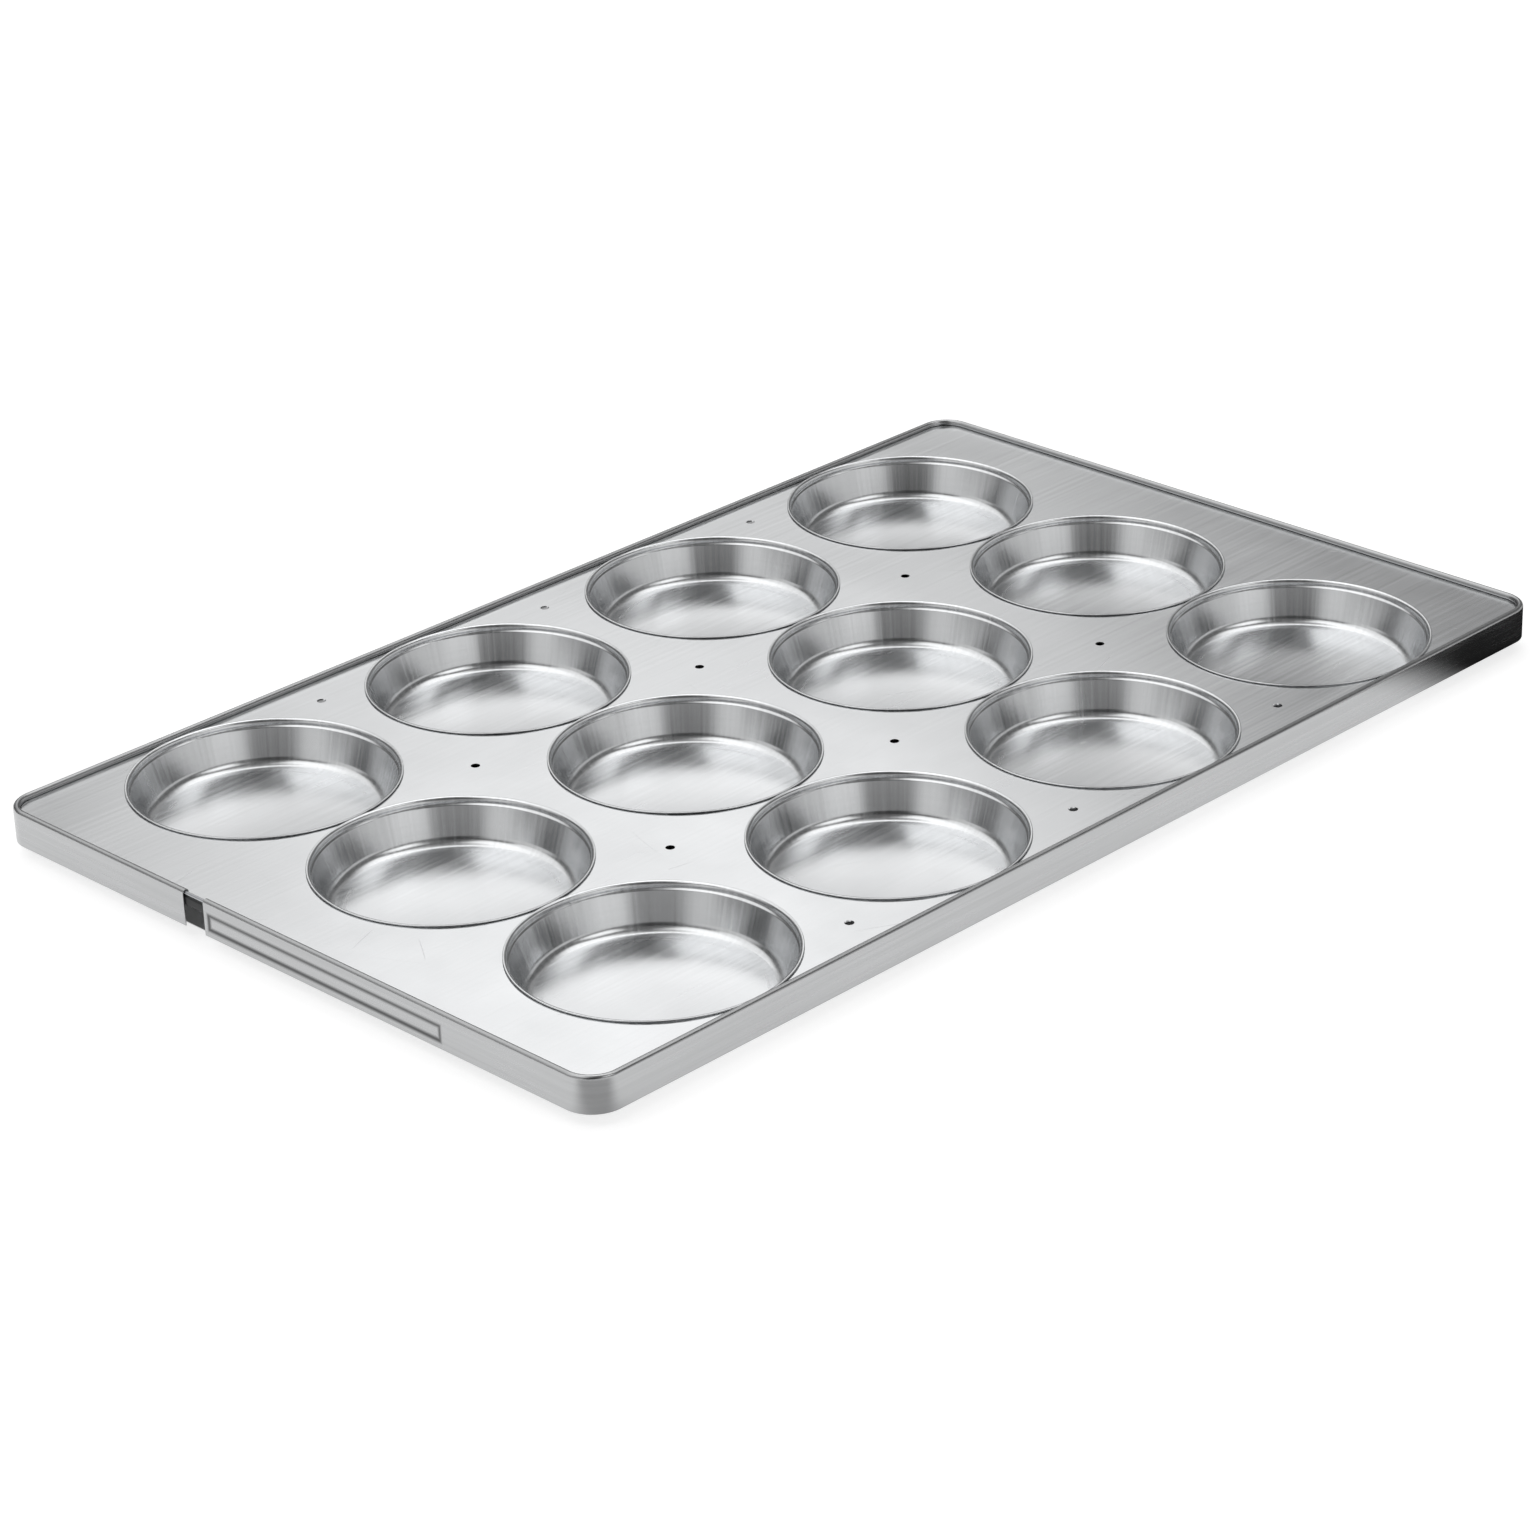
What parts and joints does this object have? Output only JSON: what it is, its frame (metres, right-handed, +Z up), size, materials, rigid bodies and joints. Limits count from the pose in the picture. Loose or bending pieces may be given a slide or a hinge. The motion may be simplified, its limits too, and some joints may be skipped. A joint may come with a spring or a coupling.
{
  "type": "bun pan",
  "caption": "Flat bakery pan with a grid of shallow round moulds set in a deck sheet, with a raised rim rolled over a wire and a skirt all round.",
  "frame": {"origin": "bottom centre of the pan, at the level of the mould floors that it stands on", "axes": "+X along the long side, away from the end with the open rim joint; +Y along the short side, towards row 1; +Z up out of the moulds"},
  "size_m": [0.6498, 0.4002, 0.0239],
  "materials": {
    "deck_steel": "bright coated sheet steel, semi-gloss",
    "mould_steel": "bright coated sheet steel, drawn, semi-gloss",
    "band_steel": "bright coated strip steel, semi-gloss",
    "wire_steel": "plain drawn wire"
  },
  "bodies": {
    "root": {"deck_sheet": "deck_steel", "mould_row1_column1": "mould_steel", "mould_row1_column2": "mould_steel", "mould_row1_column3": "mould_steel", "mould_row1_column4": "mould_steel", "mould_row2_column1": "mould_steel", "mould_row2_column2": "mould_steel", "mould_row2_column3": "mould_steel", "mould_row2_column4": "mould_steel", "mould_row3_column1": "mould_steel", "mould_row3_column2": "mould_steel", "mould_row3_column3": "mould_steel", "mould_row3_column4": "mould_steel", "rim_band": "band_steel", "rim_wire": "wire_steel"}
  },
  "joints": []
}
